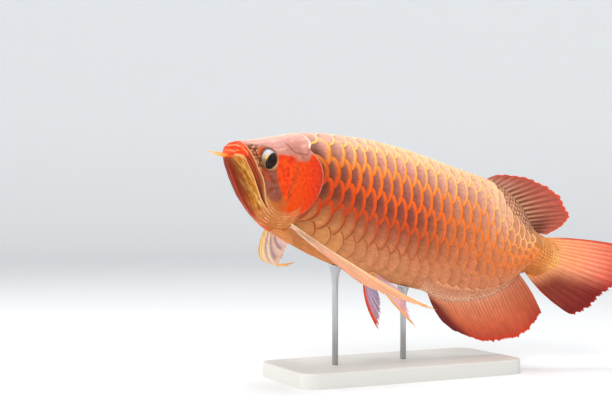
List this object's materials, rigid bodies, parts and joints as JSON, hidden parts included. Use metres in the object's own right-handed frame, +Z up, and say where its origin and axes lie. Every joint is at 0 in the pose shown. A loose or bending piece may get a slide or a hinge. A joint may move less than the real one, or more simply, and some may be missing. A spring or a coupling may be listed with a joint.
{
  "type": "asian arowana",
  "caption": "Still, life-size red-gold asian arowana in a swimming pose, with large rimmed scales, spread fins and chin barbels, held by short rods on a flat display base.",
  "frame": {"origin": "centre of the stand base's underside, on the floor", "axes": "+X from the head towards the tail along the body's length, +Z up; the fish's left side, where the body curves inwards, faces -Y"},
  "size_m": [0.5203, 0.2249, 0.2592],
  "materials": {
    "head_skin": "smooth satin skin, pinkish grey above, red cheek plates",
    "jaw_skin": "smooth satin skin, olive gold to red brown",
    "gill_cover": "glossy bony plate, vivid red orange with a pale rear rim",
    "scales": "glossy overlapping scales, mauve brown with gold to red orange rims",
    "unpaired_fins": "thin satin membrane with ribbed rays, salmon to maroon",
    "paired_fins": "thin satin membrane with a stout first ray, cream and peach",
    "eye": "clear glossy eyeball with pale iris and dark pupil",
    "barbel": "smooth satin skin, yellow orange",
    "stand_base": "satin painted board with a small chamfer",
    "stand_rod": "brushed steel rod with a flared pad"
  },
  "bodies": {
    "root": {"head": "head_skin", "lower_jaw": "jaw_skin", "gill_cover_left": "gill_cover", "gill_cover_right": "gill_cover", "body_front": "scales", "body_middle": "scales", "body_rear": "scales", "dorsal_fin": "unpaired_fins", "anal_fin": "unpaired_fins", "tail_fin": "unpaired_fins", "pectoral_fin_left": "paired_fins", "pectoral_fin_right": "paired_fins", "pelvic_fin_left": "paired_fins", "pelvic_fin_right": "paired_fins", "eye_left": "eye", "eye_right": "eye", "barbel_left": "barbel", "barbel_right": "barbel", "stand_base": "stand_base", "stand_rod_front": "stand_rod", "stand_rod_rear": "stand_rod"}
  },
  "joints": []
}
